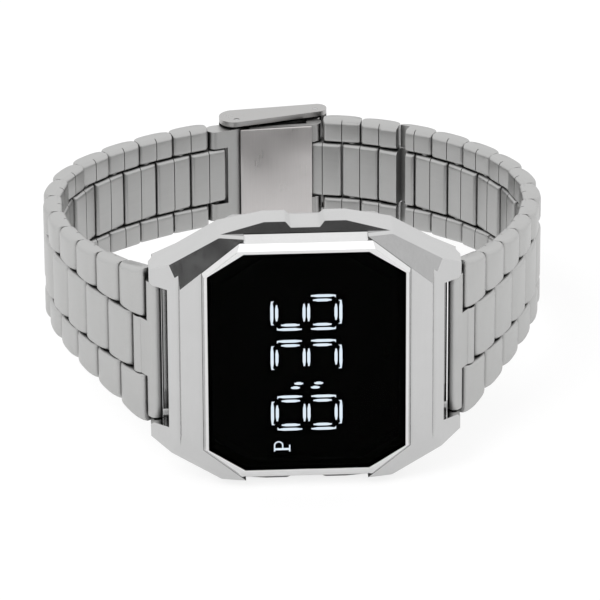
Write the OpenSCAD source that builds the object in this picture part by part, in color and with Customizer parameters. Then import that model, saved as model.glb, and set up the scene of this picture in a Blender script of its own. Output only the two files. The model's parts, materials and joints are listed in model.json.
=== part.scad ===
// Digital watch with a white LED display on a closed bracelet of folded links.
// Lengths are in millimetres. The watch lies on its 9 o'clock side: +X points to 6 o'clock,
// +Y points from the glass to the case back and on to the clasp, +Z points to 3 o'clock.
// Inside the modules the glass front is at y = 0 and the middle of the case at x = z = 0.

/* [Glass and bezel] */
// Length of the glass, 12 to 6 o'clock
glass_length = 23.2; // [22.6:0.1:23.6]
// Height of the glass, 9 to 3 o'clock
glass_height = 28.2; // [27.8:0.1:28.8]
// Length that each corner cut takes off the glass
corner_cut_x = 4.3; // [3.8:0.1:4.8]
// Height that each corner cut takes off the glass
corner_cut_z = 2.8; // [2.4:0.1:3.2]
// Thickness of the glass
glass_t = 1.2; // [1:0.05:1.4]
// Flat rim of the bezel round the glass
rim_w = 0.35; // [0.25:0.05:0.45]
// How far the rim stands in front of the glass
rim_rise = 0.2; // [0.1:0.05:0.3]
// Polished slope of the bezel at 12 and 6 o'clock
bezel_side_w = 0.3; // [0.25:0.05:0.4]
// Polished slope of the bezel at 3 and 9 o'clock
bezel_end_w = 0.85; // [0.7:0.05:1]
// Steep outer face of the bezel at 3 and 9 o'clock
bezel_wall_w = 0.5; // [0.4:0.05:0.6]
// Shelf in the bezel that carries the glass
shelf_w = 0.7; // [0.6:0.05:0.8]
// Thickness of the seal under the glass
glass_seal_t = 0.4; // [0.3:0.05:0.45]

/* [Case] */
// Flat strip beside the bezel at 12 and 6 o'clock
strip_w = 2.55; // [2.3:0.05:2.7]
// Length of each sloping horn in front
horn_slope_w = 3.55; // [3.3:0.05:3.8]
// Pad on the 3 and 9 o'clock edges, beyond the bezel
pad_h = 1; // [0.85:0.05:1.2]
// Depth of the notch between the two pads of an edge
pad_notch_d = 0.54; // [0.3:0.02:0.6]
// Half the length of the notch between two pads
pad_notch_half = 1.7; // [1.2:0.1:2.2]
// Gap between the horns, filled by the bracelet's end link
strap_width = 18; // [17.6:0.1:18.4]
// Width of a horn
horn_w = 1.9; // [1.7:0.1:2.1]
// Depth of the gap between two horns
horn_gap_d = 2.1; // [2.05:0.05:2.3]
// Depth of the case body behind the glass front
body_depth = 6.2; // [6.2:0.05:6.5]
// Depth of the horn tips behind the glass front
horn_depth = 7; // [6.9:0.05:7.3]
// Wall of the case back
back_wall = 0.65; // [0.5:0.05:0.9]
// Radius of a case screw's shank
screw_r = 0.5; // [0.4:0.05:0.6]
// Radius of a case screw's head
screw_head_r = 0.95; // [0.8:0.05:1]

/* [Movement] */
// Thickness of the display board
display_board_t = 0.6; // [0.4:0.05:0.7]
// Thickness of the circuit board
circuit_board_t = 0.6; // [0.4:0.05:0.7]
// Radius of a button cell
cell_r = 5.8; // [5.4:0.1:6]
// Height of a button cell
cell_h = 3.05; // [2.6:0.05:3.1]
// Height of a digit, between its outer strokes
digit_h = 8.1; // [7.8:0.05:8.4]
// Width of a digit, between its outer strokes
digit_w = 4.3; // [4.1:0.05:4.5]
// Width of one lit stroke at its middle
stroke_w = 0.36; // [0.3:0.02:0.4]

/* [Bracelet] */
// Distance between the pivots of two links
link_pitch = 4.95; // [4.9:0.05:5.1]
// Gap between the ends of two links
link_gap = 0.3; // [0.25:0.05:0.4]
// Crown of a link's outer face
link_crown = 0.25; // [0.15:0.05:0.3]
// Half the width of the centre column
centre_half = 3.65; // [3.5:0.05:3.8]
// Side clearance between the columns
column_gap = 0.15; // [0.12:0.01:0.2]
// Half the width of the bracelet at the horns
lug_half = 9.95; // [9.7:0.05:10.2]
// Half the width of the bracelet at the clasp
back_half = 6.75; // [6.7:0.05:7]
// Length over which the bracelet loses most of its taper
taper_l = 13.3; // [11:0.1:16]
// Radius of a hinge pin in the links
pin_r = 0.65; // [0.55:0.05:0.7]
// Radial clearance of a running pin
pin_fit = 0.05; // [0.03:0.01:0.06]
// Wall that closes the outer end of a link's bore
link_cap = 0.5; // [0.4:0.05:0.7]
// Distance from the spring bar to the first pivot
end_link_l = 2.45; // [2.4:0.05:2.7]
// Half the thickness of the end link's plate
plate_r = 0.8; // [0.75:0.05:0.9]
// Clearance of the end link between the horns
plate_gap = 0.15; // [0.12:0.01:0.2]
// Distance from the end of the horns to the spring bar
bar_inset = 0.65; // [0.6:0.05:0.8]
// Radius of a lug spring bar
bar_r = 0.55; // [0.5:0.01:0.58]
// Radius of a spring bar's tips
bar_tip_r = 0.35; // [0.3:0.01:0.38]

/* [Clasp] */
// Distance between the clasp's two outer pivots
clasp_l = 9.7; // [9.5:0.1:10]
// Length of the last link, which hangs on the clasp's spring bar
clasp_link_l = 2.9; // [2.85:0.05:3]
// Side gap between the clasp's cover and its leaves
cover_gap = 0.25; // [0.2:0.01:0.3]
// Wall of the clasp cover
cover_wall = 0.65; // [0.55:0.05:0.7]
// Width of the clasp's leaves and of the last link
leaf_w = 12.2; // [11.9:0.1:12.3]
// Thickness of the clasp's leaves
leaf_t = 0.6; // [0.5:0.05:0.65]
// Radius of the clasp's hinge pins
leaf_pin_r = 0.32; // [0.28:0.01:0.34]

/* [Hidden] */
$fn = 48;
steel = "silver";
eps = 0.01;
// Clearance between pieces that seat in one another
seat = 0.02;

// Depths behind the glass front
strip_y = 0.45;
horn_front_y = 3.2;
bezel_base_y = 2.2;
seal_y = glass_t;
shelf_y = seal_y + glass_seal_t;
display_y = 2.1;
circuit_y = display_y + display_board_t + 0.3;
circuit_back_y = circuit_y + circuit_board_t;
cell_y = circuit_back_y + 0.85;
cell_back_y = cell_y + cell_h;
clamp_t = 0.2;
clamp_head_t = 0.2;
chamber_end_y = cell_back_y + clamp_t + clamp_head_t + 0.05;
case_depth = chamber_end_y + back_wall;

// Outlines of the bezel, the case and the chamber for the movement
glass_x = glass_length / 2;
glass_z = glass_height / 2;
rim_x = glass_x + rim_w;
rim_z = glass_z + rim_w;
bezel_x = rim_x + bezel_side_w;
bezel_z = rim_z + bezel_end_w;
bezel_base_z = bezel_z + bezel_wall_w;
bezel_cut = [corner_cut_x + 0.15, corner_cut_z + 0.9];
chamber_x = glass_x - 0.6;
chamber_z = glass_z - 0.5;
chamber_cut = [corner_cut_x + 0.7, corner_cut_z + 0.5];
case_x = bezel_x + strip_w + horn_slope_w;
case_z = bezel_base_z + pad_h;
horn_root_x = case_x - horn_gap_d;
horn_z = strap_width / 2;

// Points of the case's outline in one quarter, from the horn to the middle of an edge
shoulder = [case_x - 8.15, case_z - 1.05];
pad_end = [pad_notch_half + 3.1, case_z];
pad_start = [pad_notch_half + 0.6, case_z];
quarter = [
    [case_x, horn_z + horn_w], shoulder, pad_end, pad_start,
    [pad_notch_half, case_z - pad_notch_d]];

// Movement: boards, posts of the frame, chip, quartz and the cells' places
glass_cut = [corner_cut_x, corner_cut_z];
board_x = chamber_x - 1;
board_z = chamber_z - 1;
contact_x = board_x - 0.5;
cell_z = cell_r + 0.3;
post_x = 7.6;
post_r = 1.4;
chip_w = 6;
chip_t = 0.65;
can_r = 0.75;
can_l = 5;
can_x = post_x + 0.6;
can_z = 3.2;

// Places and depth of the case screws, outside the chamber's cut corners
screw_place = [chamber_x - chamber_cut[0] / 2 + 0.85, chamber_z - chamber_cut[1] / 2 + 1.3];
screw_depth = 3;

// Spring bars between the horns
bar_x = case_x - bar_inset;
bar_y = 4.6;
bar_tip_l = 0.8;

// Bracelet: the ends of a link are round about the pivots, which lie a quarter of a
// pitch inside them
end_r = link_pitch / 4 - link_gap / 2;
half_pitch = link_pitch / 2;
side_start = centre_half + column_gap;
slot_w = 0.12;

// Turns in degrees from piece to piece, going from the horns to the clasp. They are
// multiplied by a common factor that closes the loop over the clasp.
lug_heading = 125;
turns = [
    [1.5, 2.5, 5.5, 5.5, 9, 11, 13.5, 17, 15.5, 9.5, 6.5, 5.5, 6.5],
    [3, 3.5, 4.5, 4.5, 8.5, 12.5, 14.5, 14, 12.5, 9.5, 9, 8.5, 8.5]];
last_l = [clasp_link_l, link_pitch];
// The last link of each half: the clasp link follows it at 12, the inner leaf at 6 o'clock
last_link = [len(turns[0]) - 1, len(turns[1])];
// Room between the first link and the horns
horn_room = 0.15;

function dir(a) = [cos(a), sin(a)];
function turned(side, k) = k == 0 ? 0 : turned(side, k - 1) + turns[side][k - 1];
function heading(side, k, f) = lug_heading - f * turned(side, k);
function piece_l(side, k) = k == 0 ? end_link_l : k == len(turns[side]) ? last_l[side] : link_pitch;
function pivot(side, k, f) =
    k == 0 ? [-bar_x, bar_y]
           : pivot(side, k - 1, f) + piece_l(side, k - 1) * dir(heading(side, k - 1, f));
function clasp_end(side, f) =
    let (p = pivot(side, len(turns[side]) + 1, f)) side == 0 ? p : [-p.x, p.y];
function span(f) = norm(clasp_end(1, f) - clasp_end(0, f));
function solve(lo, hi, steps) =
    let (mid = (lo + hi) / 2)
    steps == 0 ? mid : span(mid) > clasp_l ? solve(mid, hi, steps - 1) : solve(lo, mid, steps - 1);
bend = solve(0.7, 1.3, 30);
first_pivot = pivot(0, 1, bend);

// Pivot of the clasp at the 12 o'clock half, and the direction to the other one
clasp_from = clasp_end(0, bend);
clasp_to = clasp_end(1, bend);
clasp_heading = atan2(clasp_to.y - clasp_from.y, clasp_to.x - clasp_from.x);

// Length along the bracelet from the spring bar to a place s in piece k
function along(k, s) = k == 0 ? s : end_link_l + (k - 1) * link_pitch + s;
function band_half(k, s) =
    back_half + (lug_half - back_half) * exp(-(along(k, s) - 1.8) / taper_l);

// Clasp: hinges and round ends of the cover in the clasp's own frame
leaf_hinge = [2.1, 0];
cover_hinge = [clasp_l + 0.4, 1.9];
cover_end_a = [-0.2, 1];
cover_r_a = 1.9;
cover_end_b = [clasp_l + 0.7, 2.15];
cover_r_b = 1.2;
knuckle_r = 0.6;
tube_r = 0.95;
clasp_bar_r = 0.6;
inner_leaf_y = -1.1;
leaf_half = leaf_w / 2;
leaf_knuckle_half = 3;
flange_start = leaf_half + cover_gap;
cover_half = flange_start + cover_wall;

// Frame of the part: middle of its footprint at x = y = 0, pads on z = 0
crown_k = ((half_pitch / 2) ^ 2 - link_crown ^ 2) / (2 * link_crown);
crown_r = crown_k + end_r + link_crown;
function reach(side, k, v) =
    let (h = heading(side, k, bend), a = pivot(side, k, bend), along_v = dir(h) * v,
         out_v = dir(h + 90) * v, edge = half_pitch / 2 / (crown_r - end_r))
    max([for (s = [0, half_pitch])
        let (c = a + (s + half_pitch / 2) * dir(h) - crown_k * dir(h + 90))
        out_v > 0 && abs(along_v) <= edge ? c * v + crown_r
                                          : (a + s * dir(h)) * v + end_r]);
function widest(side) = max([for (k = [1:len(turns[side]) - 1]) reach(side, k, [-1, 0])]);
left_x = -widest(0);
right_x = widest(1);
front_y = -rim_rise;
cover_b_world = clasp_from + cover_end_b.x * dir(clasp_heading)
    + cover_end_b.y * dir(clasp_heading + 90);
rear_y = cover_b_world.y + cover_r_b;
frame_shift = [-(left_x + right_x) / 2, -(front_y + rear_y) / 2, case_z];

module in_frame() { translate(frame_shift) children(); }

module both(v) {
    children();
    mirror(v) children();
}

module quarters() { both([1, 0, 0]) both([0, 0, 1]) children(); }

// A plate with its outline in x and z, from y0 back to y1
module plate(y0, y1) {
    translate([0, y1, 0]) rotate([90, 0, 0]) linear_extrude(y1 - y0) children();
}

// A rod along y
module rod(x, z, r, y0, y1) {
    translate([x, y1, z]) rotate([90, 0, 0]) cylinder(r = r, h = y1 - y0);
}

// A rod along z, the same length on both sides of the middle
module axle(p, r, half_l) {
    translate([p.x, p.y, -half_l]) cylinder(r = r, h = 2 * half_l);
}

// Everything beyond the plane through p, on the side that v points to
module beyond(p, v) {
    translate(p) rotate([0, acos(v.z / norm(v)), atan2(v.y, v.x)])
        translate([-50, -50, 0]) cube([100, 100, 50]);
}

// Everything in front of the plane through three points
module in_front_of(a, b, c) {
    n = cross(b - a, c - a);
    beyond(a, n.y > 0 ? -n : n);
}

function octagon(hx, hz, cut) = [
    [hx, hz - cut[1]], [hx - cut[0], hz], [-(hx - cut[0]), hz], [-hx, hz - cut[1]],
    [-hx, -(hz - cut[1])], [-(hx - cut[0]), -hz], [hx - cut[0], -hz], [hx, -(hz - cut[1])]];

// Everything in front of the eight slopes from an outer octagon to an inner one
module slopes(outer, outer_y, inner, inner_y) {
    for (i = [0:7]) {
        j = (i + 1) % 8;
        mid = (inner[i] + inner[j]) / 2;
        in_front_of(
            [outer[i].x, outer_y, outer[i].y], [outer[j].x, outer_y, outer[j].y],
            [mid.x, inner_y, mid.y]);
    }
}

// Two circles and the straight sides that touch both
module belt(a, ra, b, rb) {
    along_ab = atan2(b.y - a.y, b.x - a.x);
    open = acos((ra - rb) / norm(b - a));
    translate(a) circle(ra);
    translate(b) circle(rb);
    polygon([
        a + ra * dir(along_ab + open), a + ra * dir(along_ab - open),
        b + rb * dir(along_ab - open), b + rb * dir(along_ab + open)]);
}

function bezel_outline(gap) = octagon(bezel_x + gap, bezel_z + gap, bezel_cut);
function bezel_base(gap) = octagon(
    bezel_x + gap, bezel_base_z + gap,
    bezel_cut + bezel_wall_w * [bezel_cut[0] / bezel_cut[1], 1]);

module case_outline() {
    polygon(concat(
        [for (q = quarter) q],
        [for (i = [len(quarter) - 1:-1:0]) [-quarter[i].x, quarter[i].y]],
        [for (q = quarter) -q],
        [for (i = [len(quarter) - 1:-1:0]) [quarter[i].x, -quarter[i].y]]));
}

// Side view of the case: flat strip, groove, sloping horn, horn tip and rear
module case_side_view() {
    groove_x = bezel_x + strip_w;
    half = [
        [groove_x, strip_y], [groove_x + 0.15, strip_y + 0.45], [groove_x + 0.55, strip_y + 0.45],
        [case_x, horn_front_y], [case_x, horn_depth - 0.4], [case_x - 0.4, horn_depth],
        [groove_x + 0.2, body_depth]];
    polygon(concat(half, [for (i = [len(half) - 1:-1:0]) [-half[i].x, half[i].y]]));
}

module horn_gap() {
    edge = 0.35;
    polygon([
        [horn_root_x, horn_z], [case_x - edge, horn_z], [case_x + eps, horn_z + edge],
        [case_x + 5, horn_z + edge], [case_x + 5, -horn_z - edge],
        [case_x + eps, -horn_z - edge], [case_x - edge, -horn_z], [horn_root_x, -horn_z]]);
}

module case_middle() {
    color(steel) in_frame() difference() {
        intersection() {
            plate(0, horn_depth + 1) case_outline();
            linear_extrude(2 * case_z + 2, center = true) case_side_view();
        }
        plate(-1, bezel_base_y) polygon(bezel_base(seat));
        plate(-1, horn_depth + 1) polygon(octagon(chamber_x, chamber_z, chamber_cut));
        both([1, 0, 0]) plate(-1, horn_depth + 2) horn_gap();
        quarters() corner_facet();
        both([0, 0, 1]) pad_facet();
        quarters() rod(screw_place.x, screw_place.y, screw_r + seat, body_depth - screw_depth,
            body_depth + 1);
        both([1, 0, 0]) {
            axle([bar_x, bar_y], bar_tip_r + seat, horn_z + bar_tip_l + 0.1);
            axle([-first_pivot.x, first_pivot.y], end_r + horn_room, case_z);
        }
    }
}

// Slope of the case between the bezel's cut corner and the case's long slanting side
module corner_facet() {
    a = bezel_outline(0)[0];
    b = bezel_outline(0)[1];
    edge = (quarter[0] + quarter[1]) / 2;
    in_front_of([a.x, strip_y, a.y], [b.x, strip_y, b.y], [edge.x, 1.3, edge.y]);
}

// Slope of the case in front of the pads
module pad_facet() {
    intersection() {
        in_front_of(
            [0, bezel_base_y - 0.2, bezel_base_z], [1, bezel_base_y - 0.2, bezel_base_z],
            [0, bezel_base_y + 0.8, case_z]);
        translate([-case_x, -5, bezel_base_z]) cube([2 * case_x, 20, 5]);
    }
}

module bezel() {
    color("gainsboro") in_frame() difference() {
        plate(-rim_rise, bezel_base_y) polygon(bezel_base(0));
        plate(-1, shelf_y) polygon(octagon(glass_x + seat, glass_z + seat, glass_cut));
        plate(0, bezel_base_y + 1)
            polygon(octagon(glass_x - shelf_w, glass_z - shelf_w, glass_cut));
        slopes(bezel_outline(0), strip_y, octagon(rim_x, rim_z, glass_cut), -rim_rise);
        both([0, 0, 1]) in_front_of(
            [0, strip_y, bezel_z], [1, strip_y, bezel_z], [0, bezel_base_y, bezel_base_z]);
    }
}

module crystal() {
    chamfer = 0.25;
    color("black") in_frame() hull() {
        plate(chamfer, glass_t) polygon(octagon(glass_x, glass_z, glass_cut));
        plate(0, glass_t) polygon(octagon(glass_x - chamfer, glass_z - chamfer, glass_cut));
    }
}

module crystal_gasket() {
    color("dimgray") in_frame() difference() {
        plate(seal_y, shelf_y) polygon(octagon(glass_x, glass_z, glass_cut));
        plate(0, shelf_y + 1)
            polygon(octagon(glass_x - shelf_w + 0.1, glass_z - shelf_w + 0.1, glass_cut));
    }
}

module display_board() {
    color("#101010") in_frame() difference() {
        plate(display_y, display_y + display_board_t)
            polygon(octagon(board_x, board_z, chamber_cut));
        contact_slot();
    }
}

// Room for the touch contact, open towards the display board's edge
module contact_slot() {
    translate([contact_x - 0.4, 0, -1]) cube([1, circuit_y, 2]);
}

// Lit strokes. A digit reads with its top towards 12 o'clock, so its height runs along x.
digit_mid = 0.03;
digit_half = digit_w / 2;
stroke_step = 0.57;
hook_l = 0.2;
digit_places = [-7.5, -0.2, 5.65];
digit_strokes = ["abcdefg", "abcdg", "acdefg"];

// A stroke from a to b, widest at its middle. Its ends may hook to the left of that direction.
module stroke(a, b, hook_a = 0, hook_b = 0) {
    l = norm(b - a);
    wide = stroke_w / 2;
    thin = wide / 2;
    translate(a) rotate(atan2(b.y - a.y, b.x - a.x)) polygon([
        [0, -thin], [l / 4, -wide], [l * 3 / 4, -wide], [l, -thin],
        [l, thin + hook_b], [l - hook_l, thin], [l * 3 / 4, wide], [l / 4, wide],
        [hook_l, thin], [0, thin + hook_a]]);
}

// The strokes of a digit between its middle and its bottom: the outer ones and, further in,
// their shorter neighbours
module outer_pair(a, b, inward, shorter, hook_a, hook_b) {
    u = (b - a) / norm(b - a);
    stroke(a, b, hook_a, hook_b);
    stroke(a + stroke_step * inward + shorter[0] * u, b + stroke_step * inward - shorter[1] * u);
}

module end_strokes() {
    across = digit_half - 0.6;
    outer_pair([digit_h / 2, -across], [digit_h / 2, across], [-1, 0], [0.5, 0.5], hook_l, hook_l);
}

module side_strokes() {
    from = 0.54;
    to = digit_h / 2 - 0.58;
    outer_pair([to, digit_half], [from, digit_half], [0, -1], [0.5, 0.25], hook_l, 0);
}

module middle_strokes() {
    across = digit_half - 1;
    for (x = [-1, 1] * stroke_step * 0.47) stroke([x, -across], [x, across]);
}

module digit(place, names) {
    for (n = names) translate([digit_mid, place]) {
        if (n == "a") mirror([1, 0]) end_strokes();
        if (n == "d") end_strokes();
        if (n == "g") middle_strokes();
        if (n == "b") mirror([1, 0]) side_strokes();
        if (n == "c") side_strokes();
        if (n == "f") rotate(180) side_strokes();
        if (n == "e") mirror([0, 1]) side_strokes();
    }
}

// The two dots between hours and minutes, each a slanting pair of short strokes
module colon() {
    half_l = 0.52;
    upper_z = -3.62;
    step = [-0.4, -0.55];
    for (x = [-0.9, 1.46], pair = [0, 1]) translate([x, upper_z] + pair * step)
        stroke([-half_l, 0], [half_l, 0]);
}

// The afternoon mark: a stem with a serif at either end, and a bowl
module afternoon_mark() {
    top = -3.88;
    foot = -1.93;
    stem_z = -12.27;
    stem_w = 0.28;
    thin_w = 0.16;
    bowl_r = 0.56;
    bowl_z = stem_z + 0.5;
    translate([top, stem_z - stem_w / 2]) square([foot - top, stem_w]);
    translate([foot - thin_w, stem_z - 0.35]) square([thin_w, 0.9]);
    translate([top, stem_z - 0.3]) square([thin_w, 0.5]);
    translate([top + bowl_r, bowl_z]) difference() {
        circle(bowl_r);
        circle(bowl_r - thin_w);
        translate([-1, -2]) square([2, 2]);
    }
    for (x = [top, top + 2 * bowl_r - thin_w])
        translate([x, stem_z]) square([thin_w, bowl_z - stem_z + eps]);
}

module led_segments() {
    led_t = 0.5;
    color("#e8f2ff") in_frame() plate(display_y - led_t, display_y) {
        for (i = [0:2]) digit(digit_places[i], digit_strokes[i]);
        colon();
        afternoon_mark();
    }
}

module module_frame() {
    ledge = 0.6;
    room = 0.05;
    wall = 1.35;
    color("#303030") in_frame() difference() {
        union() {
            difference() {
                plate(display_y + display_board_t, body_depth) polygon(octagon(
                    chamber_x - 2 * room, chamber_z - 2 * room, chamber_cut));
                plate(0, circuit_y)
                    polygon(octagon(board_x - ledge, board_z - ledge, chamber_cut));
                plate(circuit_y, circuit_back_y + room)
                    polygon(octagon(board_x + room, board_z + room, chamber_cut));
                plate(circuit_back_y, cell_y)
                    polygon(octagon(chamber_x - wall, chamber_z - wall, chamber_cut));
                both([0, 0, 1]) rod(0, cell_z, cell_r + room, circuit_back_y, body_depth + 1);
            }
            both([1, 0, 0]) rod(post_x, 0, post_r, cell_y, cell_back_y);
        }
        both([1, 0, 0])
            rod(post_x, 0, screw_r + seat, circuit_back_y, cell_back_y + 1);
        translate([can_x - can_r - 4 * room, circuit_y, can_z - ledge])
            cube([2 * can_r + 8 * room, body_depth, can_l + 2 * ledge]);
        contact_slot();
    }
}

module circuit_board() {
    color("darkgreen") in_frame()
        plate(circuit_y, circuit_back_y) polygon(octagon(board_x, board_z, chamber_cut));
}

module driver_chip() {
    color("#202020") in_frame()
        translate([-chip_w / 2, circuit_back_y, -chip_w / 2]) cube([chip_w, chip_t, chip_w]);
}

module quartz_can() {
    color("lightgray") in_frame()
        translate([can_x, circuit_back_y + can_r, can_z]) cylinder(r = can_r, h = can_l);
}

module chip_resistors() {
    body = [1, 0.35, 0.5];
    step = 0.95;
    color("#3a2a20") in_frame() for (i = [0:6])
        translate([-post_x - 1.1, circuit_back_y, 2.2 + step * i]) cube(body);
}

module touch_contact() {
    color("gold") in_frame() {
        translate([contact_x, seal_y + 0.05, -0.75]) cube([0.15, circuit_y - seal_y - 0.05, 1.5]);
        translate([contact_x - 0.3, circuit_y - 0.15, -0.75]) cube([0.45, 0.15, 1.5]);
    }
}

// A leaf from the circuit board to the face of a cell, at 9 or 3 o'clock (side -1 or 1)
module cell_contact(side) {
    place = side * cell_z;
    color("gold") in_frame() {
        rod(0, place, 1.5, cell_y - 0.2, cell_y);
        rod(0, place, 0.4, circuit_back_y, cell_y);
    }
}

module cell(side) {
    rim = 0.4;
    color("lightgray") in_frame() {
        rod(0, side * cell_z, cell_r - rim, cell_y, cell_y + rim);
        rod(0, side * cell_z, cell_r, cell_y + rim, cell_back_y);
    }
}

module cell_clamp() {
    color("khaki") in_frame() difference() {
        plate(cell_back_y, cell_back_y + clamp_t) {
            square([2 * post_x + 2.4, 2.6], center = true);
            square([4, 2 * cell_z + 5], center = true);
        }
        both([1, 0, 0]) rod(post_x, 0, screw_r + seat, cell_back_y - 1, cell_back_y + 1);
    }
}

module screw(x, z, head_y, shank_l, head_r, head_h) {
    slot_depth = head_h / 2;
    difference() {
        union() {
            rod(x, z, head_r, head_y, head_y + head_h);
            rod(x, z, screw_r, head_y - shank_l, head_y + eps);
        }
        translate([x - head_r, head_y + head_h - slot_depth, z - 0.12])
            cube([2 * head_r, slot_depth + 1, 0.24]);
    }
}

module clamp_screws() {
    color("lightgray") in_frame() both([1, 0, 0])
        screw(post_x, 0, cell_back_y + clamp_t, cell_h + clamp_t - 0.2, 0.9, clamp_head_t);
}

gasket_in = 0.25;
gasket_w = 0.5;
gasket_t = 0.4;

module gasket_ring(y0, y1, gap) {
    difference() {
        plate(y0, y1) polygon(octagon(
            chamber_x + gasket_in + gasket_w + gap, chamber_z + gasket_in + gasket_w + gap,
            chamber_cut));
        plate(y0 - 1, y1 + 1) polygon(octagon(
            chamber_x + gasket_in - gap, chamber_z + gasket_in - gap, chamber_cut));
    }
}

module back_gasket() {
    color("#202020") in_frame() gasket_ring(body_depth, body_depth + gasket_t, 0);
}

back_x = chamber_x + 3.2;
back_z = bezel_base_z - 0.4;
back_cut = [chamber_cut[0] + 0.9, chamber_cut[1] + 0.6];
head_t = 0.85;
head_seat_y = case_depth - head_t - 0.1;

module case_back() {
    edge = 0.3;
    color("silver") in_frame() difference() {
        plate(body_depth, case_depth) polygon(octagon(back_x, back_z, back_cut));
        plate(body_depth - 1, chamber_end_y)
            polygon(octagon(chamber_x, chamber_z, chamber_cut));
        gasket_ring(body_depth - eps, body_depth + gasket_t, seat);
        both([0, 0, 1]) beyond([0, case_depth - edge, back_z], [0, 1, 1]);
        both([1, 0, 0]) beyond([back_x, case_depth - edge, 0], [1, 1, 0]);
        quarters() {
            rod(screw_place.x, screw_place.y, screw_r + 0.05, body_depth - 1, case_depth);
            rod(screw_place.x, screw_place.y, screw_head_r + 0.05, head_seat_y, case_depth + 1);
        }
    }
}

module case_back_screws() {
    color("silver") in_frame() quarters()
        screw(screw_place.x, screw_place.y, head_seat_y, head_seat_y - body_depth + screw_depth - 0.2,
            screw_head_r, head_t);
}

end_plate_half = horn_z - plate_gap;

// A spring bar at x = 0, y = 0: body, shoulders and tips
module spring_bar(body_r, body_half, tip_half) {
    color("darkgray") {
        axle([0, 0], body_r, body_half);
        axle([0, 0], bar_tip_r, tip_half);
    }
}

module lug_bar_6() {
    in_frame() translate([bar_x, bar_y]) spring_bar(bar_r, end_plate_half - 0.05, horn_z + bar_tip_l);
}

// The 12 o'clock bar has its tips pressed in, clear of the horns
module lug_bar_12() {
    in_frame() translate([-bar_x, bar_y]) spring_bar(bar_r, end_plate_half - 0.1, horn_z - 0.1);
}

// Places a piece of the bracelet: x along the piece, y out of the wrist
module on_band(side, k) {
    p = pivot(side, k, bend);
    in_frame() mirror([side, 0, 0]) translate([p.x, p.y, 0]) rotate(heading(side, k, bend)) children();
}

// Profile of a folded piece whose round ends are centred at x = 0 and x = length
module folded_profile(length) {
    k = ((length / 2) ^ 2 - link_crown ^ 2) / (2 * link_crown);
    r = k + end_r + link_crown;
    for (x = [0, length]) translate([x, 0]) circle(end_r);
    translate([0, -end_r]) square([length, 2 * end_r]);
    intersection() {
        translate([length / 2, -k]) circle(r, $fn = 180);
        polygon([[0, 0], [-length / 2, k], [length * 1.5, k], [length, 0]]);
    }
}

module end_link(side) {
    plate_end = end_link_l - end_r - link_gap - plate_r;
    pin_half = band_half(1, end_r) - link_cap;
    color(steel) on_band(side, 0) difference() {
        union() {
            linear_extrude(2 * end_plate_half, center = true)
                belt([0, 0], plate_r, [plate_end, 0], plate_r);
            linear_extrude(2 * centre_half, center = true) {
                translate([end_link_l, 0]) circle(end_r);
                translate([plate_end, -plate_r]) square([end_link_l - plate_end, 2 * plate_r]);
            }
            axle([end_link_l, 0], pin_r, pin_half);
        }
        axle([0, 0], bar_r + pin_fit, end_plate_half + 1);
    }
}

// Cuts the outer end of the side pieces of link k to the bracelet's taper
module taper_cut(k) {
    a = -end_r;
    b = half_pitch + end_r;
    both([0, 0, 1]) beyond(
        [a, 0, band_half(k, a)], [band_half(k, a) - band_half(k, b), 0, b - a]);
}

// Two side pieces about the pivot at x = 0, with blind bores for the pin of the piece before
module side_pieces(k, length) {
    top = band_half(k, -end_r) + 1;
    bore_end = band_half(k, end_r) - link_cap + 0.1;
    difference() {
        both([0, 0, 1]) translate([0, 0, side_start]) linear_extrude(top - side_start)
            folded_profile(length);
        taper_cut(k);
        axle([0, 0], pin_r + pin_fit, bore_end);
    }
}

// The open seam along the wrist side of a folded piece
module seam(x, half_l) {
    translate([x - slot_w / 2, -end_r - 1, -half_l]) cube([slot_w, 1.35, 2 * half_l]);
}

// A link: side pieces about the pivot at x = 0, a centre piece up to the next pivot
module link_body(k, pin_half) {
    difference() {
        union() {
            side_pieces(k, half_pitch);
            translate([half_pitch, 0, -centre_half]) linear_extrude(2 * centre_half)
                folded_profile(half_pitch);
            axle([half_pitch, 0], pin_r, side_start + 0.5);
        }
        seam(half_pitch * 1.5, centre_half + column_gap / 2);
        difference() {
            seam(half_pitch / 2, lug_half + 1);
            translate([0, -2, -side_start]) cube([half_pitch, 4, 2 * side_start]);
        }
    }
    axle([link_pitch, 0], pin_r, pin_half);
}

module corner_round(k) {
    cut = 0.9;
    both([0, 0, 1]) beyond([cut - end_r, 0, band_half(k, 0)], [-1, 0, 1]);
}

// Places of the adjusting slot and of the raised strip, in the 6 o'clock half
slot_link = 11;
slot_from = 2.4;
slot_to = 3.55;
strip_to = 5.9;
strip_rise = 0.25;

module adjusting_strip(from, to, z0, z1) {
    both([0, 0, 1]) translate([from, -end_r - strip_rise, z0])
        cube([to - from, strip_rise + 0.4, z1 - z0]);
}

module link(side, k) {
    next_half = k == last_link[side] ? leaf_half : band_half(k + 1, end_r);
    slotted = side == 1 && k == slot_link;
    after_slot = side == 1 && k == slot_link + 1;
    color(steel) on_band(side, k) {
        difference() {
            link_body(k, next_half - link_cap);
            if (k == 1) corner_round(k);
            if (slotted) translate([slot_from, -end_r - 1, -10])
                cube([slot_to - slot_from, 1 + end_r + 0.2, 20]);
        }
        if (slotted) adjusting_strip(slot_to, strip_to, 0, centre_half);
        if (after_slot) adjusting_strip(
            slot_to + 2 * column_gap - link_pitch, strip_to - link_pitch, side_start,
            band_half(k, end_r));
    }
}

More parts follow.
